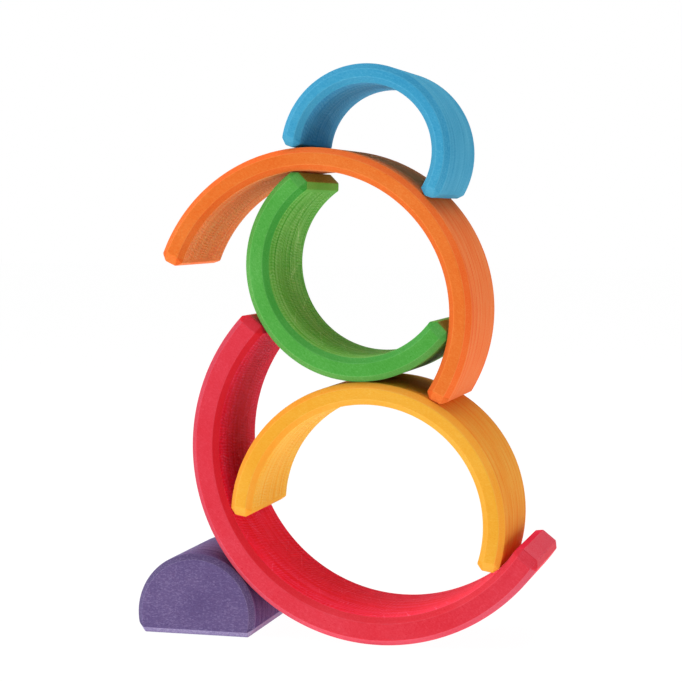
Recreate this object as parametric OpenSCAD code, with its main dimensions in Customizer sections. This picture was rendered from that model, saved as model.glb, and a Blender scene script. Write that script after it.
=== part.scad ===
// Rainbow stacker: a solid half-round block and five nested arches of stained wood,
// balanced on each other as a free-standing sculpture. Lengths in millimetres, angles in degrees.

/* [Wood] */
// Depth of every piece, front face to back face
depth = 59.5; // [40:0.5:90]
// Height of the centre of the curves above the base of a piece
centre_height = 9.1; // [5:0.1:12]
// Bevel along every edge, measured on each of the two faces that it joins
bevel = 2.5; // [0.8:0.1:3.5]

/* [Nest] */
// Radius of the solid block
block_radius = 27.5; // [22:0.1:34]
// Room between the block and the blue arch when the set is nested
blue_gap = 1.8; // [0.3:0.1:3]
// Thickness of the blue arch
blue_wall = 8.4; // [7.5:0.1:12]
// Room between the blue and the green arch when the set is nested
green_gap = 2.2; // [0.3:0.1:3]
// Thickness of the green arch
green_wall = 10.5; // [7.5:0.1:12]
// Room between the green and the yellow arch when the set is nested
yellow_gap = 1.4; // [0.3:0.1:3]
// Thickness of the yellow arch
yellow_wall = 9.8; // [7.5:0.1:12]
// Room between the yellow and the orange arch when the set is nested
orange_gap = 0.5; // [0.3:0.1:3]
// Thickness of the orange arch
orange_wall = 10; // [7.5:0.1:12]
// Room between the orange and the red arch when the set is nested
red_gap = 0.5; // [0.3:0.1:3]
// Thickness of the red arch
red_wall = 12.4; // [8:0.1:14]

/* [Stack] */
// Turn of the red arch, clockwise from upright: it lies on its back as a bowl
red_turn = 218.7; // [214:0.1:222]
// Turn of the yellow arch, which stands in the red one
yellow_turn = 10.1; // [5:0.1:14]
// Turn of the green arch, which lies open on the yellow one
green_turn = 225.9; // [221:0.1:231]
// Turn of the blue arch, which stands astride the orange one
blue_turn = 19.4; // [12:0.1:24]
// Room between two pieces where one rests on the other
seat_gap = 0.2; // [0.1:0.05:0.4]

/* [Hidden] */
$fn = 96;

// Radii of the curves, from the middle of the nest outwards
blue_inner = block_radius + blue_gap;
blue_outer = blue_inner + blue_wall;
green_inner = blue_outer + green_gap;
green_outer = green_inner + green_wall;
yellow_inner = green_outer + yellow_gap;
yellow_outer = yellow_inner + yellow_wall;
orange_inner = yellow_outer + orange_gap;
orange_outer = orange_inner + orange_wall;
red_inner = orange_outer + red_gap;
red_outer = red_inner + red_wall;

// A piece is drawn from the centre of its curves, as if it stood on its feet. Its base lies below that
// centre, and the bevels on its feet start a little higher.
base = -centre_height;
bevel_top = base + bevel;

// Half the width of a curve where the bevels on the feet start
function half_width(radius) = sqrt(pow(radius, 2) - pow(bevel_top, 2));

// Both ends of the bevel on the outer and on the inner edge of a right foot
function outer_toe(radius) = [[half_width(radius) - bevel, base], [half_width(radius), bevel_top]];
function inner_toe(radius) = [[half_width(radius) + bevel, base], [half_width(radius), bevel_top]];
function on_left(points) = [for (p = points) [-p[0], p[1]]];

// A seat is [x, z, turn]: where the centre of a piece's curves is, seen from the front, and the
// clockwise turn of the piece. A point of a piece is [x, z] from that centre.
function turned(p, turn) = [p[0] * cos(turn) + p[1] * sin(turn), p[1] * cos(turn) - p[0] * sin(turn)];
function place_of(seat) = [seat[0], seat[1]];
function seat_at(place, turn) = [place[0], place[1], turn];
function in_stack(seat, points) = [for (p = points) place_of(seat) + turned(p, seat[2])];

// Direction from the base of a turned piece to its crown
function crown_way(turn) = turned([0, 1], turn);

// Place of a piece's centre above the centre of a round that both its feet touch with a bevel. The
// feet stand inside a bowl, or astride a hump.
function above_bowl(toe, radius) = max([for (p = toe) -sqrt(pow(radius, 2) - pow(p[0], 2)) - p[1]]);
function above_hump(toe, radius) = max([for (p = toe) sqrt(pow(radius, 2) - pow(p[0], 2)) - p[1]]);

// Where two circles cross, to the left (side 1) or right (side -1) of the way from a to b
function crossing(a, radius_a, b, radius_b, side) =
    let (apart = norm(b - a),
         along = (b - a) / apart,
         across = [-along[1], along[0]],
         reach = (pow(apart, 2) + pow(radius_a, 2) - pow(radius_b, 2)) / (2 * apart))
    a + along * reach + side * across * sqrt(pow(radius_a, 2) - pow(reach, 2));

// The block stands on the floor
block_seat = [0, centre_height, 0];

// The red bowl stands on the floor and leans on the block's right side
block_to_red = block_radius + seat_gap + red_outer;
red_across = sqrt(pow(block_to_red, 2) - pow(red_outer - centre_height, 2));
red_seat = [red_across, red_outer, red_turn];

// The yellow arch stands in the bowl on the outer edges of its two feet
yellow_drop = above_bowl(outer_toe(yellow_outer), red_inner - seat_gap);
yellow_place = place_of(red_seat) + yellow_drop * crown_way(yellow_turn);
yellow_seat = seat_at(yellow_place, yellow_turn);

// The green arch lies on the crown of the yellow one and leans on the bowl's left tip, on whichever
// corner of that tip holds it furthest to the right
red_tip = in_stack(red_seat, concat(inner_toe(red_inner), outer_toe(red_outer)));
yellow_to_green = yellow_outer + seat_gap + green_outer;
green_places = [for (q = red_tip) crossing(yellow_place, yellow_to_green, q, green_outer + seat_gap, -1)];
green_across = max([for (g = green_places) g[0]]);
green_place = [for (g = green_places) if (g[0] == green_across) g][0];
green_seat = seat_at(green_place, green_turn);

// The orange arch hangs over both tips of the green one
green_drop = above_bowl(outer_toe(green_outer), orange_inner - seat_gap);
orange_place = green_place - green_drop * crown_way(green_turn);

// It turns about its centre until its right foot comes to rest on the yellow arch
orange_toes = concat(inner_toe(orange_inner), outer_toe(orange_outer));
orange_turns = [for (p = orange_toes)
    let (rest = crossing(orange_place, norm(p), yellow_place, yellow_outer + seat_gap, 1) - orange_place)
    atan2(p[1], p[0]) - atan2(rest[1], rest[0])];
orange_turn = min(orange_turns);
orange_seat = seat_at(orange_place, orange_turn);

// The blue arch stands astride the orange one on the inner edges of its feet
blue_rise = above_hump(inner_toe(blue_inner), orange_outer + seat_gap);
blue_place = orange_place + blue_rise * crown_way(blue_turn);
blue_seat = seat_at(blue_place, blue_turn);

// The origin is on the floor, midway between the leftmost and the rightmost point of the stack
function side_reach(seat, radius, side) =
    let (toes = concat(outer_toe(radius), on_left(outer_toe(radius))),
         level = side * radius * sin(seat[2]),
         curve = level >= bevel_top ? [side * seat[0] + radius] : [])
    max(concat(curve, [for (q = in_stack(seat, toes)) side * q[0]]));
outlines = [
    [block_seat, block_radius],
    [blue_seat, blue_outer],
    [green_seat, green_outer],
    [yellow_seat, yellow_outer],
    [orange_seat, orange_outer],
    [red_seat, red_outer],
];
right_end = max([for (o = outlines) side_reach(o[0], o[1], 1)]);
left_end = -max([for (o = outlines) side_reach(o[0], o[1], -1)]);
middle = (right_end + left_end) / 2;

// Puts a piece that is drawn upright from its centre into its seat
module seated(seat) {
    translate([seat[0] - middle, 0, seat[1]])
        rotate([0, seat[2], 0])
            children();
}

// A section carried once around an axis that runs front to back, starting below the base
module carried_round() {
    rotate([90, 0, 0])
        rotate([0, 0, -90])
            rotate_extrude()
                children();
}

// Section of an arch, with its four long edges bevelled
module wall_section(inner, outer) {
    half = depth / 2;
    polygon([
        [inner + bevel, -half], [outer - bevel, -half], [outer, bevel - half], [outer, half - bevel],
        [outer - bevel, half], [inner + bevel, half], [inner, half - bevel], [inner, bevel - half],
    ]);
}

// Section of the solid block, from its axis to its bevelled rim
module solid_section(outer) {
    half = depth / 2;
    polygon([
        [0, -half], [outer - bevel, -half], [outer, bevel - half],
        [outer, half - bevel], [outer - bevel, half], [0, half],
    ]);
}

// Room above the bevels at the front and back edges of the base
module base_bevels(outer) {
    half = depth / 2;
    over = 2 * outer;
    rotate([90, 0, 90])
        linear_extrude(2 * over, center = true)
            polygon([
                [bevel - half, base], [half - bevel, base], [half + over, bevel_top + over],
                [half + over, 2 * over], [-half - over, 2 * over], [-half - over, bevel_top + over],
            ]);
}

// A front view carried from front to back, past both faces of a piece
module through() {
    rotate([90, 0, 0])
        linear_extrude(2 * depth, center = true)
            children();
}

// Room above the bevels at the outer and inner edges of two feet
module foot_bevels(inner, outer) {
    over = 2 * outer;
    outside = half_width(outer);
    inside = half_width(inner);
    through()
        polygon([
            [-outside - over, bevel_top + over], [bevel - outside, base], [-inside - bevel, base],
            [0, bevel_top + inside], [inside + bevel, base], [outside - bevel, base],
            [outside + over, bevel_top + over], [outside + over, 2 * over], [-outside - over, 2 * over],
        ]);
}

// Room above the bevels at the two ends of the solid block's base
module block_bevels(outer) {
    over = 2 * outer;
    outside = half_width(outer);
    through()
        polygon([
            [-outside - over, bevel_top + over], [bevel - outside, base], [outside - bevel, base],
            [outside + over, bevel_top + over], [outside + over, 2 * over], [-outside - over, 2 * over],
        ]);
}

// An arch standing on its feet
module arch(inner, outer) {
    intersection() {
        carried_round() wall_section(inner, outer);
        foot_bevels(inner, outer);
        base_bevels(outer);
    }
}

// The half-round block standing on its base
module block(outer) {
    intersection() {
        carried_round() solid_section(outer);
        block_bevels(outer);
        base_bevels(outer);
    }
}

module violet() {
    color([0.33, 0.29, 0.52]) seated(block_seat) block(block_radius);
}

module blue() {
    color([0.16, 0.53, 0.76]) seated(blue_seat) arch(blue_inner, blue_outer);
}

module green() {
    color([0.22, 0.65, 0.22]) seated(green_seat) arch(green_inner, green_outer);
}

module yellow() {
    color([0.98, 0.68, 0.16]) seated(yellow_seat) arch(yellow_inner, yellow_outer);
}

module orange() {
    color([0.96, 0.45, 0.12]) seated(orange_seat) arch(orange_inner, orange_outer);
}

module red() {
    color([0.85, 0.15, 0.22]) seated(red_seat) arch(red_inner, red_outer);
}

violet();
blue();
green();
yellow();
orange();
red();
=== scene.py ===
"""Rainbow stacker: the looks of six loose pieces of stained wood, balanced as a free-standing stack.

Every piece is one closed surface: a bevelled section carried along an arc, from foot to foot. The sizes
repeat those of the part's source, in metres, and the seats follow from them by contact, as they do there.
"""
import math

import bpy
import numpy as np
from mathutils import Matrix, Vector


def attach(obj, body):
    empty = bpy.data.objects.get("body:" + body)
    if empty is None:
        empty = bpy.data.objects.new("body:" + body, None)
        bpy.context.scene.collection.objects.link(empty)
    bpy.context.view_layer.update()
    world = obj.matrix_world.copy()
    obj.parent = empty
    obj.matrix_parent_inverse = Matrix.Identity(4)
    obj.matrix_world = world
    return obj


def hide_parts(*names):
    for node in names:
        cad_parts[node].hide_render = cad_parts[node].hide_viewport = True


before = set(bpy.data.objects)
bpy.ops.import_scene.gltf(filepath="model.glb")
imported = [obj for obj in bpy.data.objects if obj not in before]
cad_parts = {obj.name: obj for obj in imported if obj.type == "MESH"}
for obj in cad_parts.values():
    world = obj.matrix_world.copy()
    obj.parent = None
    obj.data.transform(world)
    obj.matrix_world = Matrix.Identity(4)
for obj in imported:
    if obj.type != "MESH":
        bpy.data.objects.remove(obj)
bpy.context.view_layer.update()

bl_info = {
    "name": "Rainbow Stacker",
    "version": (1, 0, 0),
    "blender": (4, 5, 0),
    "location": "View3D > Sidebar > Rainbow Stacker",
    "description": "Builds a balanced stack of stained wooden arches and their half-round block",
    "category": "Add Mesh",
}

MM = 0.001
ARCHES = ("blue", "green", "yellow", "orange", "red")
WHITE = (1.0, 1.0, 1.0, 1.0)

# Sanded rims: faces across the round, and the turn from which an edge is sanded
RIM_FACES = 3
RIM_TURN = math.radians(22)

# How much a face has to look down to be an end: the underside of a foot, the bevels of the block's base
FOOT_END_SLOPE = 0.88
BLOCK_END_SLOPE = 0.42

# Growth rings: depth of a layer, how many layers it drifts, how late it darkens, its share of all lines
RING_DEPTH = 7 * MM
RING_DRIFT = 2.4
RING_POWER = 5.0
RING_SHARE = 0.6

# Saw marks: length of a ripple, how many ripples it drifts, how far it runs askew, slants of scratches
SAW_PITCH = 1.4 * MM
SAW_DRIFT = 4.2
SAW_SLANT = 0.16
SCRATCH_SLANTS = (math.radians(28), math.radians(-36))

# Cells of noise per metre: along the arc or the fibres, through the depth, and across both
RING_DRIFT_CELLS = (5.0, 60.0, 20.0)
RING_PATCH_CELLS = (60.0, 140.0, 60.0)
FINE_LINE_CELLS = (30.0, 900.0, 90.0)
FLECK_CELLS = (900.0, 2000.0, 2000.0)
CLOUD_CELLS = (28.0, 55.0, 45.0)
PORE_CELLS = (900.0, 1500.0, 1500.0)
SAW_DRIFT_CELLS = (80.0, 55.0, 60.0)
SAW_PATCH_CELLS = (90.0, 130.0, 60.0)
TEAR_CELLS = (650.0, 260.0, 60.0)
SCRATCH_CELLS = (950.0, 26.0, 40.0)
FUZZ_CELLS = (1700.0, 2300.0, 2300.0)

# What is left of an effect away from the inner curve: lines on flat faces, then each on the outer side
FLAT_LINES = 0.08
OUTER_LINES = 0.80
OUTER_SAW = 0.30
# Share of the painted shade that the outer bevels get
OUTER_SHADE_RUN = 0.5

# What each effect adds to the depth of the stain at full strength
CLOUD_STAIN = 2.0
FLECK_STAIN = -1.0
PORE_STAIN = 0.25
FUZZ_STAIN = 0.30
END_FUZZ_STAIN = 0.90
FOOT_BEVEL_STAIN = 0.14
RIPPLE_STAIN = 0.45
TEAR_STAIN = 0.10
SCRATCH_STAIN = -0.30
# Paler outer bevels and rims: partly wear, partly painted sheen and highlight
WEAR_AND_SHEEN_STAIN = -1.0

# How much paler a rim is made than the bevel beside it: wear, and a painted highlight along the rim
RIM_WEAR_AND_HIGHLIGHT = 1.6

# Relief: height and strength of the whole, and how much each effect lifts the surface
RELIEF_HEIGHT = 0.15 * MM
RELIEF_STRENGTH = 0.7
RIPPLE_RELIEF = -1.2
TEAR_RELIEF = -1.3
LINE_RELIEF = -0.5

# Sheen of the dry stain: the least and the greatest roughness, and the gloss
SMOOTHEST = 0.72
ROUGHEST = 0.88
GLOSS = 0.10

# Stage: nearest and furthest thing that the camera sees, half the side of the floor and its colour, the
# point that the lamps are aimed at, and where they hang
NEAREST = 0.05
FURTHEST = 50.0
FLOOR_REACH = 6.0
FLOOR_COLOUR = (0.92, 0.92, 0.92, 1.0)
LAMP_AIM = (0.0, 0.0, 0.12)
LEFT_SPOT = (-1.15, -0.50, 0.50)
BACK_SPOT = (-0.95, 0.95, 0.40)
TOP_SPOT = (0.10, -0.25, 1.40)


def length(name, description, millimetres):
    """A size in metres, given in millimetres."""
    return bpy.props.FloatProperty(
        name=name, description=description, default=millimetres * MM, min=0.0, precision=4,
        subtype="DISTANCE", unit="LENGTH")


def angle(name, description, degrees):
    """An angle, given in degrees."""
    return bpy.props.FloatProperty(
        name=name, description=description, default=math.radians(degrees), subtype="ANGLE", unit="ROTATION")


def stain(name, colour):
    """A colour of the stain as it is seen on a screen."""
    return bpy.props.FloatVectorProperty(
        name=name, description="Colour of the stain: " + name.lower(), default=colour, min=0.0, max=1.0,
        size=3, subtype="COLOR_GAMMA")


def share(name, description, default):
    """A strength from nothing to full."""
    return bpy.props.FloatProperty(
        name=name, description=description, default=default, min=0.0, max=1.0, subtype="FACTOR")


def power(name, watts):
    """The power of a lamp."""
    return bpy.props.FloatProperty(
        name=name, description="Power of the lamp: " + name.lower(), default=watts, min=0.0, subtype="POWER",
        unit="POWER")


class StackSizes(bpy.types.PropertyGroup):
    """Sizes of the pieces and their turns in the stack"""
    depth: length("Depth", "Front face to back face of every piece", 59.5)
    centre_height: length("Centre height", "Height of the curves' centre above a piece's base", 9.1)
    bevel: length("Bevel", "Bevel along every edge, measured on each face", 2.5)
    foot_facet: length("Foot facet", "Height of the longer bevels on the feet and the block's ends", 4.2)
    edge_round: length("Edge round", "Width of the sanded round on the rims of the bevels", 0.4)
    grid: length("Grid", "Length of one mesh face along an arc", 1.6)
    block_radius: length("Block radius", "Radius of the solid block", 27.5)
    blue_gap: length("Blue gap", "Room between the block and the blue arch when nested", 1.8)
    blue_wall: length("Blue wall", "Thickness of the blue arch", 8.4)
    green_gap: length("Green gap", "Room between the blue and the green arch when nested", 2.2)
    green_wall: length("Green wall", "Thickness of the green arch", 10.5)
    yellow_gap: length("Yellow gap", "Room between the green and the yellow arch when nested", 1.4)
    yellow_wall: length("Yellow wall", "Thickness of the yellow arch", 9.8)
    orange_gap: length("Orange gap", "Room between the yellow and the orange arch when nested", 0.5)
    orange_wall: length("Orange wall", "Thickness of the orange arch", 10.0)
    red_gap: length("Red gap", "Room between the orange and the red arch when nested", 0.5)
    red_wall: length("Red wall", "Thickness of the red arch", 12.4)
    seat_gap: length("Seat gap", "Room between two pieces where one rests on the other", 0.2)
    red_turn: angle("Red turn", "Clockwise turn of the red bowl", 218.7)
    yellow_turn: angle("Yellow turn", "Clockwise turn of the yellow arch", 10.1)
    green_turn: angle("Green turn", "Clockwise turn of the green arch", 225.9)
    blue_turn: angle("Blue turn", "Clockwise turn of the blue arch", 19.4)


class StackFinish(bpy.types.PropertyGroup):
    """Stain and grain of the wood, for the flat faces, bevels, sawn curves and ends of each piece, with some
    painted shade, sheen and reflection
    """
    violet_face: stain("Violet face", (0.38, 0.32, 0.50))
    violet_bevel: stain("Violet bevel", (0.31, 0.26, 0.43))
    violet_outer: stain("Violet outer curve", (0.33, 0.27, 0.49))
    violet_end: stain("Violet base bevel", (0.54, 0.49, 0.64))
    blue_face: stain("Blue face", (0.24, 0.61, 0.77))
    blue_bevel: stain("Blue outer bevel", (0.20, 0.56, 0.73))
    blue_inner_bevel: stain("Blue inner bevel", (0.25, 0.60, 0.75))
    blue_outer: stain("Blue outer curve", (0.26, 0.63, 0.78))
    blue_inner: stain("Blue inner curve", (0.27, 0.63, 0.81))
    blue_end: stain("Blue end", (0.32, 0.65, 0.79))
    green_face: stain("Green face", (0.31, 0.64, 0.26))
    green_bevel: stain("Green outer bevel", (0.30, 0.59, 0.24))
    green_inner_bevel: stain("Green inner bevel", (0.30, 0.64, 0.28))
    green_outer: stain("Green outer curve", (0.41, 0.72, 0.30))
    green_inner: stain("Green inner curve", (0.38, 0.72, 0.27))
    # Painted reflection and shade: the olive end stands for the orange arch that hangs over it and its shadow
    green_end: stain("Green end, with painted reflection and shade", (0.45, 0.52, 0.22))
    yellow_face: stain("Yellow face", (0.93, 0.66, 0.20))
    yellow_bevel: stain("Yellow outer bevel", (0.98, 0.61, 0.17))
    yellow_inner_bevel: stain("Yellow inner bevel", (0.96, 0.67, 0.23))
    yellow_outer: stain("Yellow outer curve", (0.98, 0.61, 0.17))
    yellow_inner: stain("Yellow inner curve", (0.97, 0.78, 0.26))
    yellow_end: stain("Yellow end", (0.97, 0.74, 0.33))
    orange_face: stain("Orange face", (0.90, 0.45, 0.17))
    orange_bevel: stain("Orange outer bevel", (0.96, 0.39, 0.14))
    orange_inner_bevel: stain("Orange inner bevel", (0.89, 0.41, 0.16))
    orange_outer: stain("Orange outer curve", (0.98, 0.48, 0.22))
    orange_inner: stain("Orange inner curve", (0.98, 0.52, 0.28))
    orange_end: stain("Orange end", (0.95, 0.53, 0.23))
    red_face: stain("Red face", (0.85, 0.21, 0.27))
    red_bevel: stain("Red outer bevel", (0.80, 0.25, 0.32))
    red_inner_bevel: stain("Red inner bevel", (0.86, 0.19, 0.25))
    red_outer: stain("Red outer curve", (0.92, 0.28, 0.34))
    red_inner: stain("Red inner curve", (0.95, 0.12, 0.27))
    red_end: stain("Red end", (0.95, 0.30, 0.37))
    violet_line: share("Violet growth lines", "How much the growth rings of the block show", 0.45)
    blue_line: share("Blue growth lines", "How much the growth rings of the blue arch show", 0.42)
    green_line: share("Green growth lines", "How much the growth rings of the green arch show", 0.80)
    yellow_line: share("Yellow growth lines", "How much the growth rings of the yellow arch show", 0.75)
    orange_line: share("Orange growth lines", "How much the growth rings of the orange arch show", 0.55)
    red_line: share("Red growth lines", "How much the growth rings of the red arch show", 0.60)
    violet_saw: share("Violet saw marks", "How deep the saw marks on the block are", 0.30)
    blue_saw: share("Blue saw marks", "How deep the saw marks on the blue arch are", 0.45)
    green_saw: share("Green saw marks", "How deep the saw marks on the green arch are", 0.70)
    yellow_saw: share("Yellow saw marks", "How deep the saw marks on the yellow arch are", 0.60)
    orange_saw: share("Orange saw marks", "How deep the saw marks on the orange arch are", 0.55)
    red_saw: share("Red saw marks", "How deep the saw marks on the red arch are", 0.95)
    violet_fleck: share("Violet flecks", "How much paler the fibres are that took less stain", 0.19)
    blue_fleck: share("Blue flecks", "How much paler the fibres are that took less stain", 0.12)
    green_fleck: share("Green flecks", "How much paler the fibres are that took less stain", 0.12)
    yellow_fleck: share("Yellow flecks", "How much paler the fibres are that took less stain", 0.10)
    orange_fleck: share("Orange flecks", "How much paler the fibres are that took less stain", 0.10)
    red_fleck: share("Red flecks", "How much paler the fibres are that took less stain", 0.10)
    # Painted shade: the bevels, the inner ones most, are darker towards the right leg and a little lighter on
    # the left, seen upright
    green_run: share("Green painted shade", "Painted shade: the bevels are darker towards the right leg and a little lighter on the left, seen upright", 0.12)
    red_run: share("Red painted shade", "Painted shade: the bevels are darker towards the right leg and a little lighter on the left, seen upright", 0.22)
    cloud_strength: share("Clouds", "How uneven the stain is over a whole face", 0.16)
    # Partly wear, partly painted sheen: paler outer bevels, and pale rims that stand for highlights
    wear_strength: share("Edge wear and painted sheen", "How much paler the outer bevels and their rims are: wear, and painted sheen", 0.11)


class StackView(bpy.types.PropertyGroup):
    """Camera, lamps and pale surroundings"""
    azimuth: angle("Azimuth", "Turn of the camera to the right of the front", 14.59)
    elevation: angle("Elevation", "Angle of the camera above the horizon", 3.68)
    roll: angle("Roll", "Turn of the camera about its line of sight", 0.16)
    distance: length("Distance", "Camera to the point that it looks at", 893.2)
    look_across: bpy.props.FloatProperty(
        name="Look across", description="Point that the camera looks at, across", default=-3.70 * MM,
        precision=4, subtype="DISTANCE", unit="LENGTH")
    look_up: length("Look up", "Point that the camera looks at, above the floor", 131.03)
    focal: length("Focal length", "Focal length of the lens", 105.05)
    sensor: length("Sensor", "Width of the square picture behind the lens", 36.0)
    lamp_width: length("Lamp width", "Side of each square lamp", 900.0)
    left_power: power("Left light", 7.2)
    back_power: power("Back light", 8.5)
    top_power: power("Top light", 10.0)
    even_light: share("Even light", "Strength of the light that comes from all sides", 0.24)
    table_glow: share("Table glow", "Light that the floor gives off by itself, as a light table does", 0.72)
    floor_white: share("Floor white", "How far the floor is shown as plain white", 0.94)


def sizes_now():
    """The sizes of the stack, held by the scene."""
    return bpy.context.scene.stack_sizes


def radii_of(sizes):
    """Inner and outer radius of every arch, from the block outwards: each gap, then each wall."""
    steps = np.array([[getattr(sizes, arch + "_gap"), getattr(sizes, arch + "_wall")] for arch in ARCHES])
    reached = sizes.block_radius + np.cumsum(steps.ravel()).reshape(-1, 2)
    return {arch: tuple(pair) for arch, pair in zip(ARCHES, reached)}


def foot_levels(sizes):
    """Height of the base, and of the upper ends of the bevels on the feet, from the curves' centre."""
    return -sizes.centre_height, sizes.bevel - sizes.centre_height


def half_width(radius, sizes):
    """Half the width of a curve where the bevels on the feet start, by Pythagoras."""
    return np.sqrt(np.square(radius) - foot_levels(sizes)[1] ** 2)


def outer_toe(radius, sizes):
    """Both ends of the bevel on the outer edge of a right foot, as rows of x and z."""
    base, bevel_top = foot_levels(sizes)
    wide = half_width(radius, sizes)
    return np.array([[wide - sizes.bevel, base], [wide, bevel_top]])


def inner_toe(radius, sizes):
    """Both ends of the bevel on the inner edge of a right foot, as rows of x and z."""
    base, bevel_top = foot_levels(sizes)
    wide = half_width(radius, sizes)
    return np.array([[wide + sizes.bevel, base], [wide, bevel_top]])


def turned(points, turn):
    """Rows of x and z, turned clockwise as seen from the front."""
    points = np.asarray(points)
    across = points[..., 0] * math.cos(turn) + points[..., 1] * math.sin(turn)
    upward = points[..., 1] * math.cos(turn) - points[..., 0] * math.sin(turn)
    return np.stack([across, upward], axis=-1)


def above_bowl(toe, radius):
    """Place of a piece's centre above the centre of a bowl that both its feet stand in."""
    return np.max(-np.sqrt(radius ** 2 - toe[:, 0] ** 2) - toe[:, 1])


def above_hump(toe, radius):
    """Place of a piece's centre above the centre of a hump that both its feet stand astride."""
    return np.max(np.sqrt(radius ** 2 - toe[:, 0] ** 2) - toe[:, 1])


def crossing(start, start_radius, end, end_radius, side):
    """Where two circles cross, left (side 1) or right (side -1) of the way between their centres.

    The crossing lies at (apart^2 + r1^2 - r2^2) / (2 apart) along that way, and across it by Pythagoras.
    """
    apart = np.linalg.norm(end - start)
    along = (end - start) / apart
    across = np.array([-along[1], along[0]])
    reach = (apart ** 2 + start_radius ** 2 - end_radius ** 2) / (2 * apart)
    return start + along * reach + side * across * math.sqrt(start_radius ** 2 - reach ** 2)


def side_reach(place, turn, radius, sizes, side):
    """How far a piece reaches to one side: its curve where that side has one, or its toes."""
    toes = outer_toe(radius, sizes)
    toes = np.vstack([toes, toes * [-1, 1]])
    reach = np.max(side * (place + turned(toes, turn))[:, 0])
    has_curve = side * radius * math.sin(turn) >= foot_levels(sizes)[1]
    return max(reach, side * place[0] + radius) if has_curve else reach


def seats_of(sizes):
    """Place (x, z) of every piece's centre and its turn, each found from the pieces that carry it."""
    radii = radii_of(sizes)
    gap = sizes.seat_gap
    way = {arch: turned([0.0, 1.0], getattr(sizes, arch + "_turn")) for arch in ("yellow", "green", "blue")}
    block = np.array([0.0, sizes.centre_height])
    red_outer = radii["red"][1]
    to_red = sizes.block_radius + gap + red_outer
    red = np.array([math.sqrt(to_red ** 2 - (red_outer - sizes.centre_height) ** 2), red_outer])
    yellow_outer = radii["yellow"][1]
    yellow = red + above_bowl(outer_toe(yellow_outer, sizes), radii["red"][0] - gap) * way["yellow"]
    red_toes = np.vstack([inner_toe(radii["red"][0], sizes), outer_toe(red_outer, sizes)])
    red_tip = red + turned(red_toes, sizes.red_turn)
    green_outer = radii["green"][1]
    to_green = yellow_outer + gap + green_outer
    held = [crossing(yellow, to_green, corner, green_outer + gap, -1) for corner in red_tip]
    green = max(held, key=lambda place: place[0])
    orange = green - above_bowl(outer_toe(green_outer, sizes), radii["orange"][0] - gap) * way["green"]
    orange_toes = np.vstack([inner_toe(radii["orange"][0], sizes), outer_toe(radii["orange"][1], sizes)])
    rests = [crossing(orange, np.linalg.norm(toe), yellow, yellow_outer + gap, 1) - orange
             for toe in orange_toes]
    orange_turn = min(math.atan2(toe[1], toe[0]) - math.atan2(rest[1], rest[0])
                      for toe, rest in zip(orange_toes, rests))
    blue = orange + above_hump(inner_toe(radii["blue"][0], sizes), radii["orange"][1] + gap) * way["blue"]
    seats = {
        "violet": (block, 0.0, sizes.block_radius),
        "blue": (blue, sizes.blue_turn, radii["blue"][1]),
        "green": (green, sizes.green_turn, green_outer),
        "yellow": (yellow, sizes.yellow_turn, yellow_outer),
        "orange": (orange, orange_turn, radii["orange"][1]),
        "red": (red, sizes.red_turn, red_outer),
    }
    right = max(side_reach(*seat, sizes, 1) for seat in seats.values())
    left = max(side_reach(*seat, sizes, -1) for seat in seats.values())
    middle = np.array([(right - left) / 2, 0.0])
    return {piece: (place - middle, turn) for piece, (place, turn, radius) in seats.items()}


def carried(radius, end_level, steps):
    """Rails along concentric arcs from the left foot over the crown to the right foot.

    Rail i has the points radius[i] * (cos a, sin a), with the angle a running evenly between the two
    places where that rail is at its end level, the upper end of the bevels on the feet.
    """
    low = np.arcsin(end_level / radius)[:, None]
    run = np.linspace(0.0, 1.0, steps)[None, :]
    sweep = (math.pi - low) * (1 - run) + low * run
    return radius[:, None] * np.cos(sweep), radius[:, None] * np.sin(sweep)


def in_seat(points, seat):
    """Points of an upright piece, as rows of x, y and z from its centre, put into its seat."""
    place, turn = seat
    flat = turned(points[:, [0, 2]], turn) + place
    return np.stack([flat[:, 0], points[:, 1], flat[:, 1]], axis=1)


def grid_faces(rails, steps, closed):
    """Quads between neighbouring rails of a grid whose points are numbered rail by rail."""
    rail = np.arange(rails if closed else rails - 1)[:, None]
    step = np.arange(steps - 1)[None, :]
    after = (rail + 1) % rails
    corners = [rail * steps + step, rail * steps + step + 1, after * steps + step + 1, after * steps + step]
    return np.stack(np.broadcast_arrays(*corners), axis=-1).reshape(-1, 4)


def arch_surface(inner, outer, sizes):
    """An arch standing on its feet: points and faces.

    An eight-sided section, the wall with its four long edges bevelled, is carried along the arcs. Below
    the upper ends of the foot bevels it narrows to the rectangle on which each foot stands.
    """
    half = sizes.depth / 2
    bevel = sizes.bevel
    base = foot_levels(sizes)[0]
    steps = int(round(math.pi * outer / sizes.grid))
    radius = np.array([outer - bevel, outer, outer, outer - bevel,
                       inner + bevel, inner, inner, inner + bevel])
    level = np.array([-half, bevel - half, half - bevel, half, half, half - bevel, bevel - half, -half])
    end_level = base + np.where(np.abs(level) == half, sizes.foot_facet, bevel)
    across, upward = carried(radius, end_level, steps)
    depth = np.broadcast_to(level[:, None], across.shape)
    body = np.stack([across, depth, upward], axis=-1).reshape(-1, 3)
    outside = half_width(outer, sizes) - bevel
    inside = half_width(inner, sizes) + bevel
    foot = np.array([[outside, bevel - half, base], [outside, half - bevel, base],
                     [inside, half - bevel, base], [inside, bevel - half, base]])
    points = np.vstack([body, foot * [-1, 1, 1], foot])
    faces = grid_faces(8, steps, closed=True).tolist()
    left = len(body)
    right = left + 4
    for first, row, flip in ((left, 0, False), (right, steps - 1, True)):
        rim = np.arange(8) * steps + row
        cap = [(first, first + 1, first + 2, first + 3)]
        for corner in range(4):
            after = (corner + 1) % 4
            cap.append((rim[2 * corner], rim[2 * corner + 1], first + corner))
            cap.append((rim[2 * corner + 1], rim[(2 * corner + 2) % 8], first + after, first + corner))
        faces += [face[::-1] if flip else face for face in cap]
    return points, faces


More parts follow.
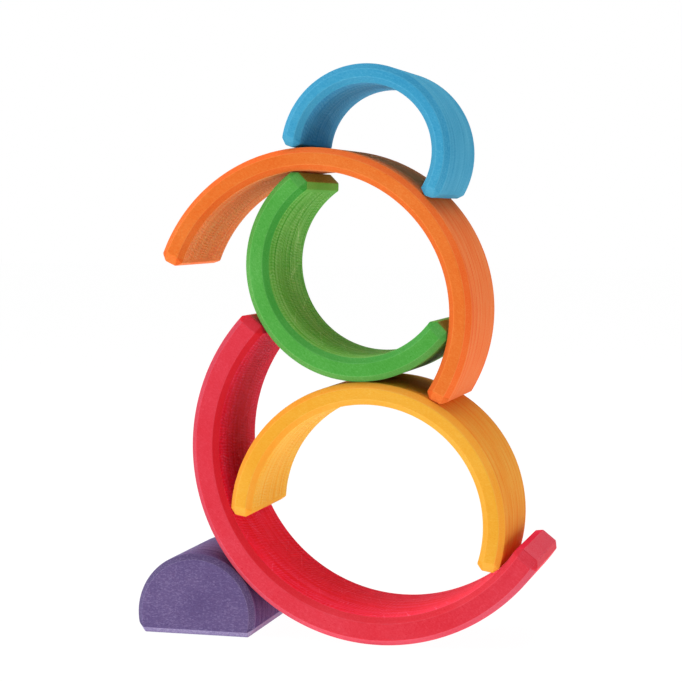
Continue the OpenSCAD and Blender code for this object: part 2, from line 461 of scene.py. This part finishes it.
def block_surface(outer, sizes):
    """The solid block standing on its base: points and faces.

    Four rails, the bevelled rims of the round side, are carried along the arcs. The two flat faces are
    closed across the rims, and bevels join them to the rectangle on which the block stands.
    """
    half = sizes.depth / 2
    bevel = sizes.bevel
    base = foot_levels(sizes)[0]
    steps = int(round(math.pi * outer / sizes.grid))
    radius = np.array([outer - bevel, outer, outer, outer - bevel])
    level = np.array([-half, bevel - half, half - bevel, half])
    end_level = base + np.where(np.abs(level) == half, bevel, sizes.foot_facet)
    across, upward = carried(radius, end_level, steps)
    depth = np.broadcast_to(level[:, None], across.shape)
    body = np.stack([across, depth, upward], axis=-1).reshape(-1, 3)
    wide = half_width(outer, sizes) - bevel
    deep = half - bevel
    stand = np.array([[-wide, -deep, base], [wide, -deep, base], [wide, deep, base], [-wide, deep, base]])
    points = np.vstack([body, stand])
    left = np.arange(4) * steps
    right = left + steps - 1
    front_left, front_right, back_right, back_left = np.arange(4) + len(body)
    faces = grid_faces(4, steps, closed=False).tolist()
    faces += [
        tuple(np.arange(steps)[::-1]),
        tuple(np.arange(steps) + 3 * steps),
        (front_left, front_right, right[0], left[0]),
        (back_right, back_left, left[3], right[3]),
        (left[2], back_left, front_left, left[1]),
        (right[1], front_right, back_right, right[2]),
        (left[1], front_left, left[0]),
        (left[3], back_left, left[2]),
        (right[0], front_right, right[1]),
        (right[2], back_right, right[3]),
        (front_left, back_left, back_right, front_right),
    ]
    return points, faces


def make_piece(name, points, faces, seat, sizes):
    """A piece of the stack as an object at the origin, with the rims of its bevels sanded round."""
    mesh = bpy.data.meshes.new(name + "_wood")
    mesh.from_pydata(in_seat(points, seat).tolist(), [], [[int(i) for i in face] for face in faces])
    mesh.validate()
    mesh.polygons.foreach_set("use_smooth", np.ones(len(mesh.polygons), dtype=bool))
    mesh.update()
    piece = bpy.data.objects.new(name + "_piece", mesh)
    bpy.context.scene.collection.objects.link(piece)
    rounding = piece.modifiers.new("Sanded rims", "BEVEL")
    rounding.width = sizes.edge_round
    rounding.segments = RIM_FACES
    rounding.limit_method = "ANGLE"
    rounding.angle_limit = RIM_TURN
    rounding.harden_normals = True
    piece.data.materials.append(wood_material(name, seat))
    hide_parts(name)
    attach(piece, name)


def linear(colour):
    """A screen colour as light, by the usual sRGB curve."""
    value = np.asarray(colour, dtype=float)
    return np.where(value <= 0.04045, value / 12.92, ((value + 0.055) / 1.055) ** 2.4)


def paint(colour):
    """A screen colour as a shader value with full cover."""
    return (*linear(colour).tolist(), 1.0)


def new_group(name, inputs, outputs):
    """A shader node group with named sockets, and its two end nodes."""
    group = bpy.data.node_groups.new(name, "ShaderNodeTree")
    for socket, kind in inputs:
        group.interface.new_socket(name=socket, in_out="INPUT", socket_type=kind)
    for socket, kind in outputs:
        group.interface.new_socket(name=socket, in_out="OUTPUT", socket_type=kind)
    return group, group.nodes.new("NodeGroupInput"), group.nodes.new("NodeGroupOutput")


def add_node(tree, kind, inputs, **settings):
    """A node with its settings; an input is a value, or an output to link."""
    node = tree.nodes.new(kind)
    for name, value in settings.items():
        setattr(node, name, value)
    for key, value in inputs.items():
        if isinstance(value, bpy.types.NodeSocket):
            tree.links.new(value, node.inputs[key])
        else:
            node.inputs[key].default_value = value
    return node


def number(tree, operation, *values, clamp=False):
    """A sum, product or other number worked out from numbers."""
    inputs = dict(enumerate(values))
    return add_node(tree, "ShaderNodeMath", inputs, operation=operation, use_clamp=clamp).outputs[0]


def ramp(tree, value, low, high, start=0.0, end=1.0):
    """A value that goes smoothly from start to end between two limits."""
    inputs = {"Value": value, "From Min": low, "From Max": high, "To Min": start, "To Max": end}
    return add_node(tree, "ShaderNodeMapRange", inputs, interpolation_type="SMOOTHSTEP").outputs["Result"]


def noise(tree, vector, stretch, detail, roughness=0.55):
    """Noise with its own number of cells per metre in each of the three directions."""
    stretched = add_node(tree, "ShaderNodeVectorMath", {0: vector, 1: stretch}, operation="MULTIPLY")
    inputs = {"Vector": stretched.outputs[0], "Scale": 1.0, "Detail": detail, "Roughness": roughness}
    return add_node(tree, "ShaderNodeTexNoise", inputs).outputs["Fac"]


def part_of(tree, vector, axis):
    """One of the three numbers of a vector."""
    return add_node(tree, "ShaderNodeSeparateXYZ", {0: vector}).outputs[axis]


def hand_out(group, leave, **results):
    """Links what a group has worked out to its outputs of the same names."""
    for name, result in results.items():
        group.links.new(result, leave.inputs[name])


def blended(tree, share_of_second, first, second):
    """Two colours mixed by a share."""
    inputs = {0: share_of_second, 6: first, 7: second}
    return add_node(tree, "ShaderNodeMix", inputs, data_type="RGBA").outputs[2]


def piece_space_group():
    """Where a point lies on its piece, and which way its surface faces there.

    Fibre is x, y, z from the curves' centre with the piece upright. Bend is the way along the arc, the
    depth and the radius. The fibres of the wood run along x, and its growth layers lie flat in x and z.
    """
    group, enter, leave = new_group(
        "Piece space",
        [("Centre", "NodeSocketVector"), ("Turn", "NodeSocketFloat")],
        [("Fibre", "NodeSocketVector"), ("Bend", "NodeSocketVector"), ("Facing", "NodeSocketVector")])
    where = group.nodes.new("ShaderNodeTexCoord")
    back = number(group, "MULTIPLY", enter.outputs["Turn"], -1.0)
    offset = add_node(group, "ShaderNodeVectorMath", {0: where.outputs["Object"], 1: enter.outputs["Centre"]},
                      operation="SUBTRACT").outputs[0]
    fibre = add_node(group, "ShaderNodeVectorRotate", {"Vector": offset, "Angle": back},
                     rotation_type="Y_AXIS")
    facing = add_node(group, "ShaderNodeVectorRotate", {"Vector": where.outputs["Normal"], "Angle": back},
                      rotation_type="Y_AXIS")
    parts = add_node(group, "ShaderNodeSeparateXYZ", {0: fibre.outputs[0]})
    swing = number(group, "ARCTAN2", parts.outputs["X"], parts.outputs["Z"])
    squares = number(group, "ADD", number(group, "POWER", parts.outputs["X"], 2.0),
                     number(group, "POWER", parts.outputs["Z"], 2.0))
    radius = number(group, "SQRT", squares)
    along = number(group, "MULTIPLY", swing, radius)
    bend = add_node(group, "ShaderNodeCombineXYZ", {0: along, 1: parts.outputs["Y"], 2: radius})
    hand_out(group, leave, Fibre=fibre.outputs[0], Bend=bend.outputs[0], Facing=facing.outputs[0])
    return group


def face_kinds_group():
    """Masks for the bevels, sawn curves, sanded rims, inner curves, feet and their ends.

    The first three come from how much a surface faces front or back, the inner curves from facing the
    centre, and the feet from lying below the upper ends of their bevels. An end is what faces down there.
    """
    group, enter, leave = new_group(
        "Face kinds",
        [("Facing", "NodeSocketVector"), ("Fibre", "NodeSocketVector"), ("Bevel Top", "NodeSocketFloat"),
         ("End Slope", "NodeSocketFloat")],
        [("Bevel", "NodeSocketFloat"), ("Curve", "NodeSocketFloat"), ("Rim", "NodeSocketFloat"),
         ("Inside", "NodeSocketFloat"), ("Foot", "NodeSocketFloat"), ("End", "NodeSocketFloat")])
    facing = enter.outputs["Facing"]
    # The share that faces front or back is 1 on a flat face, 0.71 on a bevel and 0 on a curve
    depthwise = number(group, "ABSOLUTE", part_of(group, facing, "Y"))
    flat = ramp(group, depthwise, 0.80, 0.97)
    curve = ramp(group, depthwise, 0.12, 0.50, 1.0, 0.0)
    bevel = number(group, "SUBTRACT", number(group, "SUBTRACT", 1.0, flat), curve, clamp=True)
    upper = number(group, "MULTIPLY", ramp(group, depthwise, 0.72, 0.82),
                   ramp(group, depthwise, 0.93, 0.995, 1.0, 0.0))
    lower = number(group, "MULTIPLY", ramp(group, depthwise, 0.05, 0.25),
                   ramp(group, depthwise, 0.50, 0.68, 1.0, 0.0))
    rim = number(group, "ADD", upper, lower, clamp=True)
    radial = add_node(group, "ShaderNodeVectorMath", {0: enter.outputs["Fibre"], 1: (1.0, 0.0, 1.0)},
                      operation="MULTIPLY").outputs[0]
    radial = add_node(group, "ShaderNodeVectorMath", {0: radial}, operation="NORMALIZE").outputs[0]
    outward = add_node(group, "ShaderNodeVectorMath", {0: radial, 1: facing},
                       operation="DOT_PRODUCT").outputs["Value"]
    inside = ramp(group, outward, -0.3, 0.3, 1.0, 0.0)
    above = number(group, "SUBTRACT", part_of(group, enter.outputs["Fibre"], "Z"), enter.outputs["Bevel Top"])
    foot = ramp(group, above, -0.3 * MM, 0.1 * MM, 1.0, 0.0)
    downward = number(group, "MULTIPLY", part_of(group, facing, "Z"), -1.0)
    past_slope = number(group, "SUBTRACT", downward, enter.outputs["End Slope"])
    end = number(group, "MULTIPLY", foot, ramp(group, past_slope, -0.04, 0.04))
    hand_out(group, leave, Bevel=bevel, Curve=curve, Rim=rim, Inside=inside, Foot=foot, End=end)
    return group


def wood_grain_group():
    """Growth rings as dark lines, pale flecks, clouds of stain, open pores, and painted shade towards one
    leg.

    A ring is the fraction of the way through the layers, shifted by noise, so it darkens slowly and ends
    sharply. The painted shade goes by x over the radius, the sine of the angle from the crown to the right
    leg.
    """
    group, enter, leave = new_group(
        "Wood grain", [("Fibre", "NodeSocketVector"), ("Bend", "NodeSocketVector")],
        [("Lines", "NodeSocketFloat"), ("Flecks", "NodeSocketFloat"), ("Clouds", "NodeSocketFloat"),
         ("Pores", "NodeSocketFloat"), ("Run", "NodeSocketFloat")])
    fibre = enter.outputs["Fibre"]
    bend = enter.outputs["Bend"]
    layer = number(group, "MULTIPLY", part_of(group, bend, "Y"), 1 / RING_DEPTH)
    drift = number(group, "MULTIPLY", noise(group, bend, RING_DRIFT_CELLS, 2.0), RING_DRIFT)
    through = number(group, "FRACT", number(group, "ADD", layer, drift))
    patches = ramp(group, noise(group, bend, RING_PATCH_CELLS, 2.0), 0.35, 0.65, 0.25, 1.25)
    rings = number(group, "MULTIPLY", number(group, "POWER", through, RING_POWER), patches)
    fine = ramp(group, noise(group, bend, FINE_LINE_CELLS, 2.0), 0.38, 0.66)
    lines = number(group, "ADD", number(group, "MULTIPLY", rings, RING_SHARE),
                   number(group, "MULTIPLY", fine, 1 - RING_SHARE))
    flecks = ramp(group, noise(group, fibre, FLECK_CELLS, 2.0, 0.65), 0.44, 0.70)
    clouds = noise(group, fibre, CLOUD_CELLS, 3.0)
    pores = ramp(group, noise(group, fibre, PORE_CELLS, 1.0), 0.70, 0.80)
    sine = number(group, "DIVIDE", part_of(group, fibre, "X"), part_of(group, bend, "Z"))
    # Painted shade: darker towards the right leg, a little lighter on the left leg
    run = ramp(group, sine, -0.9, 0.6, -0.3, 1.0)
    hand_out(group, leave, Lines=lines, Flecks=flecks, Clouds=clouds, Pores=pores, Run=run)
    return group


def saw_marks_group():
    """Ripples, torn fibres and crossing scratches that a saw leaves on a curve, and a fine fuzz.

    A ripple goes evenly up and down along the arc, a little askew and shifted by noise. It fades in patches.
    """
    group, enter, leave = new_group(
        "Saw marks", [("Bend", "NodeSocketVector"), ("Fibre", "NodeSocketVector")],
        [("Ripples", "NodeSocketFloat"), ("Tears", "NodeSocketFloat"), ("Scratches", "NodeSocketFloat"),
         ("Fuzz", "NodeSocketFloat")])
    parts = add_node(group, "ShaderNodeSeparateXYZ", {0: enter.outputs["Bend"]})
    askew = number(group, "MULTIPLY", parts.outputs["Y"], SAW_SLANT)
    shifted = number(group, "ADD", parts.outputs["X"], askew)
    path = add_node(group, "ShaderNodeCombineXYZ",
                    {0: shifted, 1: parts.outputs["Y"], 2: parts.outputs["Z"]}).outputs[0]
    drift = number(group, "MULTIPLY", noise(group, path, SAW_DRIFT_CELLS, 2.0), SAW_DRIFT)
    teeth = number(group, "ADD", number(group, "MULTIPLY", shifted, 1 / SAW_PITCH), drift)
    wave = number(group, "SUBTRACT", number(group, "PINGPONG", teeth, 0.5), 0.25)
    patches = ramp(group, noise(group, path, SAW_PATCH_CELLS, 2.0), 0.36, 0.64, 0.4, 2.0)
    ripples = number(group, "MULTIPLY", wave, patches)
    tears = ramp(group, noise(group, path, TEAR_CELLS, 2.0), 0.52, 0.68)
    crossing_ways = []
    for slant in SCRATCH_SLANTS:
        slanted = add_node(group, "ShaderNodeVectorRotate", {"Vector": path, "Angle": slant},
                           rotation_type="Z_AXIS").outputs[0]
        crossing_ways.append(ramp(group, noise(group, slanted, SCRATCH_CELLS, 1.0), 0.64, 0.76))
    scratches = number(group, "ADD", *crossing_ways, clamp=True)
    fuzz = noise(group, enter.outputs["Fibre"], FUZZ_CELLS, 3.0, 0.6)
    hand_out(group, leave, Ripples=ripples, Tears=tears, Scratches=scratches, Fuzz=fuzz)
    return group


def stain_and_relief_group():
    """How deep the stain is, how high the surface stands and how rough it is, from grain, saw, wear and
    painted sheen and shade.

    A colour is raised to the power of the stain's depth, so more stain is darker and fuller, as with a
    dye in real wood. Each term below is an effect, where it shows, and how much it adds.
    """
    values = ("Lines", "Flecks", "Clouds", "Pores", "Run", "Ripples", "Tears", "Scratches", "Fuzz", "Bevel",
              "Curve", "Inside", "Rim", "Foot", "End", "Line Strength", "Fleck Strength", "Run Strength",
              "Cloud Strength", "Saw Strength", "Wear Strength")
    group, enter, leave = new_group(
        "Stain and relief", [(value, "NodeSocketFloat") for value in values],
        [("Depth", "NodeSocketFloat"), ("Relief", "NodeSocketFloat"), ("Roughness", "NodeSocketFloat")])
    given = enter.outputs

    def product(*factors):
        """The product of some numbers."""
        result = factors[0]
        for factor in factors[1:]:
            result = number(group, "MULTIPLY", result, factor)
        return result

    def total(*terms):
        """The sum of some numbers."""
        result = terms[0]
        for term in terms[1:]:
            result = number(group, "ADD", result, term)
        return result

    def where(mask, elsewhere):
        """One under a full mask, and a smaller share where there is none."""
        return ramp(group, given[mask], 0.0, 1.0, elsewhere, 1.0)

    # These three swing about their middles, so the colour stays that of the stain on the whole
    lines = number(group, "SUBTRACT", given["Lines"], 0.3)
    clouds = number(group, "SUBTRACT", given["Clouds"], 0.5)
    fuzz = number(group, "SUBTRACT", given["Fuzz"], 0.5)
    leg = number(group, "SUBTRACT", 1.0, given["Foot"])
    on_curve = product(leg, where("Curve", FLAT_LINES), where("Inside", OUTER_LINES))
    sawn = product(leg, given["Curve"], where("Inside", OUTER_SAW))
    saw = product(sawn, given["Saw Strength"])
    shade_run_bevels = product(given["Bevel"], where("Inside", OUTER_SHADE_RUN))
    outward = number(group, "SUBTRACT", 1.0, given["Inside"])
    # Painted sheen and highlight as well as wear: outer bevels and their rims come out paler
    worn_and_sheen = total(product(given["Rim"], ramp(group, given["Fuzz"], 0.30, 0.62), RIM_WEAR_AND_HIGHLIGHT),
                   product(given["Bevel"], outward))
    depth = total(
        product(lines, given["Line Strength"], on_curve),
        product(clouds, given["Cloud Strength"], CLOUD_STAIN),
        product(given["Flecks"], given["Fleck Strength"], FLECK_STAIN),
        product(given["Pores"], PORE_STAIN),
        # Painted shade on the bevels towards one leg
        product(given["Run"], given["Run Strength"], shade_run_bevels),
        product(fuzz, FUZZ_STAIN),
        product(fuzz, given["End"], END_FUZZ_STAIN),
        product(given["Foot"], given["Bevel"], FOOT_BEVEL_STAIN),
        product(given["Ripples"], saw, RIPPLE_STAIN),
        product(given["Tears"], saw, TEAR_STAIN),
        product(given["Scratches"], saw, SCRATCH_STAIN),
        product(worn_and_sheen, given["Wear Strength"], WEAR_AND_SHEEN_STAIN),
        1.0)
    relief = total(
        product(given["Ripples"], saw, RIPPLE_RELIEF),
        product(given["Tears"], saw, TEAR_RELIEF),
        product(fuzz, ramp(group, sawn, 0.0, 1.0, 0.4, 1.6)),
        product(lines, on_curve, LINE_RELIEF))
    roughness = ramp(group, given["Fuzz"], 0.30, 0.70, SMOOTHEST, ROUGHEST)
    hand_out(group, leave, Depth=depth, Relief=relief, Roughness=roughness)
    return group


def place_group(tree, name, build):
    """A node of the group of that name, which is built the first time that it is asked for."""
    return add_node(tree, "ShaderNodeGroup", {}, node_tree=bpy.data.node_groups.get(name) or build())


def join(tree, source, target, names):
    """Links the outputs of one node to the inputs of the same names on another."""
    for name in names:
        tree.links.new(source.outputs[name], target.inputs[name])


def stain_colour(tree, name, kinds):
    """The stain's colour on a piece: those of its faces, bevels, curves and ends, mixed by their masks. The
    green end's colour holds painted reflection and shade.
    """
    finish = bpy.context.scene.stack_finish
    bevel = paint(getattr(finish, name + "_bevel"))
    curve = paint(getattr(finish, name + "_outer"))
    if name in ARCHES:
        deep = number(tree, "MAXIMUM", kinds.outputs["Inside"], kinds.outputs["Foot"])
        bevel = blended(tree, deep, bevel, paint(getattr(finish, name + "_inner_bevel")))
        curve = blended(tree, kinds.outputs["Inside"], curve, paint(getattr(finish, name + "_inner")))
    colour = blended(tree, kinds.outputs["Bevel"], paint(getattr(finish, name + "_face")), bevel)
    colour = blended(tree, kinds.outputs["Curve"], colour, curve)
    return blended(tree, kinds.outputs["End"], colour, paint(getattr(finish, name + "_end")))


def wood_material(name, seat):
    """Stained wood of one piece, with its grain, saw marks, worn rims with painted sheen, and painted shade
    laid along the piece itself.

    The end of an arch is the flat underside of its foot; that of the block is the bevel round its base.
    """
    finish = bpy.context.scene.stack_finish
    sizes = sizes_now()
    place, turn = seat
    material = bpy.data.materials.new(name + "_stain")
    material.use_nodes = True
    tree = material.node_tree
    tree.nodes.clear()
    space = place_group(tree, "Piece space", piece_space_group)
    space.inputs["Centre"].default_value = (place[0], 0.0, place[1])
    space.inputs["Turn"].default_value = turn
    kinds = place_group(tree, "Face kinds", face_kinds_group)
    kinds.inputs["Bevel Top"].default_value = foot_levels(sizes)[0] + sizes.foot_facet
    kinds.inputs["End Slope"].default_value = FOOT_END_SLOPE if name in ARCHES else BLOCK_END_SLOPE
    grain = place_group(tree, "Wood grain", wood_grain_group)
    saw = place_group(tree, "Saw marks", saw_marks_group)
    wood = place_group(tree, "Stain and relief", stain_and_relief_group)
    join(tree, space, kinds, ("Facing", "Fibre"))
    join(tree, space, grain, ("Fibre", "Bend"))
    join(tree, space, saw, ("Fibre", "Bend"))
    join(tree, grain, wood, ("Lines", "Flecks", "Clouds", "Pores", "Run"))
    join(tree, saw, wood, ("Ripples", "Tears", "Scratches", "Fuzz"))
    join(tree, kinds, wood, ("Bevel", "Curve", "Inside", "Rim", "Foot", "End"))
    for strength in ("cloud", "wear"):
        wood.inputs[strength.title() + " Strength"].default_value = getattr(finish, strength + "_strength")
    for strength in ("line", "saw", "fleck"):
        wood.inputs[strength.title() + " Strength"].default_value = getattr(finish, name + "_" + strength)
    # Only the green and red arches have painted shade on the bevels of one leg
    wood.inputs["Run Strength"].default_value = getattr(finish, name + "_run", 0.0)
    stained = add_node(tree, "ShaderNodeGamma",
                       {"Color": stain_colour(tree, name, kinds), "Gamma": wood.outputs["Depth"]})
    bump = add_node(tree, "ShaderNodeBump", {
        "Height": wood.outputs["Relief"], "Strength": RELIEF_STRENGTH, "Distance": RELIEF_HEIGHT})
    shader = add_node(tree, "ShaderNodeBsdfPrincipled", {
        "Base Color": stained.outputs["Color"], "Roughness": wood.outputs["Roughness"],
        "Normal": bump.outputs["Normal"], "Specular IOR Level": GLOSS})
    surface = add_node(tree, "ShaderNodeOutputMaterial", {"Surface": shader.outputs["BSDF"]})
    surface.is_active_output = True
    return material


class STACKER_OT_block(bpy.types.Operator):
    """Build the solid half-round block"""
    bl_idname = "stacker.block"
    bl_label = "Violet block"

    def execute(self, context):
        sizes = sizes_now()
        points, faces = block_surface(sizes.block_radius, sizes)
        make_piece("violet", points, faces, seats_of(sizes)["violet"], sizes)
        return {"FINISHED"}


class STACKER_OT_arches(bpy.types.Operator):
    """Build the five arches"""
    bl_idname = "stacker.arches"
    bl_label = "Arches"

    def execute(self, context):
        sizes = sizes_now()
        radii = radii_of(sizes)
        seats = seats_of(sizes)
        for arch in ARCHES:
            points, faces = arch_surface(*radii[arch], sizes)
            make_piece(arch, points, faces, seats[arch], sizes)
        return {"FINISHED"}


def make_camera(view):
    """The camera, placed round the point that it looks at by azimuth, elevation and distance."""
    target = Vector((view.look_across, 0.0, view.look_up))
    back = Vector((math.sin(view.azimuth) * math.cos(view.elevation),
                   -math.cos(view.azimuth) * math.cos(view.elevation), math.sin(view.elevation)))
    level = Vector((0.0, 0.0, 1.0)).cross(back).normalized()
    upright = back.cross(level)
    right = level * math.cos(view.roll) + upright * math.sin(view.roll)
    up = upright * math.cos(view.roll) - level * math.sin(view.roll)
    lens = bpy.data.cameras.new("Camera")
    lens.sensor_fit = "HORIZONTAL"
    lens.sensor_width = view.sensor / MM
    lens.lens = view.focal / MM
    lens.clip_start = NEAREST
    lens.clip_end = FURTHEST
    camera = bpy.data.objects.new("Camera", lens)
    spot = target + back * view.distance
    turn = Matrix((right, up, back)).transposed().to_4x4()
    camera.matrix_world = Matrix.Translation(spot) @ turn
    bpy.context.scene.collection.objects.link(camera)
    bpy.context.scene.camera = camera


def make_lamp(name, spot, width, watts):
    """A square soft light at a spot, aimed at the middle of the stack."""
    light = bpy.data.lights.new(name, "AREA")
    light.shape = "SQUARE"
    light.size = width
    light.energy = watts
    lamp = bpy.data.objects.new(name, light)
    lamp.location = spot
    lamp.rotation_euler = (Vector(LAMP_AIM) - Vector(spot)).to_track_quat("-Z", "Y").to_euler()
    bpy.context.scene.collection.objects.link(lamp)


def seen_directly(tree):
    """One where the camera, a gloss or a clear body looks at a surface, and zero for other light."""
    path = tree.nodes.new("ShaderNodeLightPath")
    gloss = number(tree, "MAXIMUM", path.outputs["Is Glossy Ray"], path.outputs["Is Transmission Ray"])
    return number(tree, "MAXIMUM", path.outputs["Is Camera Ray"], gloss)


def make_floor(view):
    """A wide pale floor that shows white with a faint shadow, and glows a little as a light table does."""
    corners = np.array([(-1, -1, 0), (1, -1, 0), (1, 1, 0), (-1, 1, 0)]) * FLOOR_REACH
    mesh = bpy.data.meshes.new("floor")
    mesh.from_pydata(corners.tolist(), [], [(0, 1, 2, 3)])
    floor = bpy.data.objects.new("floor", mesh)
    bpy.context.scene.collection.objects.link(floor)
    material = bpy.data.materials.new("pale_floor")
    material.use_nodes = True
    tree = material.node_tree
    tree.nodes.clear()
    matt = add_node(tree, "ShaderNodeBsdfDiffuse", {"Color": FLOOR_COLOUR})
    table = add_node(tree, "ShaderNodeEmission", {"Color": WHITE, "Strength": view.table_glow})
    lit = add_node(tree, "ShaderNodeAddShader", {0: matt.outputs[0], 1: table.outputs[0]})
    white = add_node(tree, "ShaderNodeEmission", {"Color": WHITE, "Strength": 1.0})
    cover = number(tree, "MULTIPLY", seen_directly(tree), view.floor_white)
    mixed = add_node(tree, "ShaderNodeMixShader", {0: cover, 1: lit.outputs[0], 2: white.outputs[0]})
    add_node(tree, "ShaderNodeOutputMaterial", {"Surface": mixed.outputs[0]})
    mesh.materials.append(material)


def make_surroundings(view):
    """White surroundings: full white to the eye, and a softer even light on the object."""
    world = bpy.data.worlds.new("White studio")
    world.use_nodes = True
    tree = world.node_tree
    tree.nodes.clear()
    shown = add_node(tree, "ShaderNodeBackground", {"Color": WHITE, "Strength": 1.0})
    light = add_node(tree, "ShaderNodeBackground", {"Color": WHITE, "Strength": view.even_light})
    mixed = add_node(tree, "ShaderNodeMixShader",
                     {0: seen_directly(tree), 1: light.outputs[0], 2: shown.outputs[0]})
    add_node(tree, "ShaderNodeOutputWorld", {"Surface": mixed.outputs[0]})
    bpy.context.scene.world = world


class STACKER_OT_stage(bpy.types.Operator):
    """Build the floor, the light and the camera"""
    bl_idname = "stacker.stage"
    bl_label = "Stage"

    def execute(self, context):
        view = context.scene.stack_view
        make_camera(view)
        make_floor(view)
        make_surroundings(view)
        make_lamp("Left light", LEFT_SPOT, view.lamp_width, view.left_power)
        make_lamp("Back light", BACK_SPOT, view.lamp_width, view.back_power)
        make_lamp("Top light", TOP_SPOT, view.lamp_width, view.top_power)
        context.scene.view_settings.view_transform = "Standard"
        return {"FINISHED"}


class STACKER_PT_panel(bpy.types.Panel):
    """Lists what builds the stack"""
    bl_idname = "STACKER_PT_panel"
    bl_label = "Rainbow Stacker"
    bl_space_type = "VIEW_3D"
    bl_region_type = "UI"
    bl_category = "Rainbow Stacker"

    def draw(self, context):
        for operator in (STACKER_OT_block, STACKER_OT_arches, STACKER_OT_stage):
            self.layout.operator(operator.bl_idname)
        for group in (context.scene.stack_sizes, context.scene.stack_finish, context.scene.stack_view):
            box = self.layout.box()
            for entry in group.bl_rna.properties:
                if entry.identifier not in ("rna_type", "name"):
                    box.prop(group, entry.identifier)


CLASSES = (StackSizes, StackFinish, StackView, STACKER_OT_block, STACKER_OT_arches, STACKER_OT_stage,
           STACKER_PT_panel)


def register():
    """Make the classes known, and give the scene its settings."""
    for entry in CLASSES:
        bpy.utils.register_class(entry)
    bpy.types.Scene.stack_sizes = bpy.props.PointerProperty(type=StackSizes)
    bpy.types.Scene.stack_finish = bpy.props.PointerProperty(type=StackFinish)
    bpy.types.Scene.stack_view = bpy.props.PointerProperty(type=StackView)


def unregister():
    """Take back what register() did."""
    del bpy.types.Scene.stack_view
    del bpy.types.Scene.stack_finish
    del bpy.types.Scene.stack_sizes
    for entry in reversed(CLASSES):
        bpy.utils.unregister_class(entry)


def main():
    register()
    bpy.ops.stacker.block()
    bpy.ops.stacker.arches()
    bpy.ops.stacker.stage()


if __name__ == "__main__":
    main()
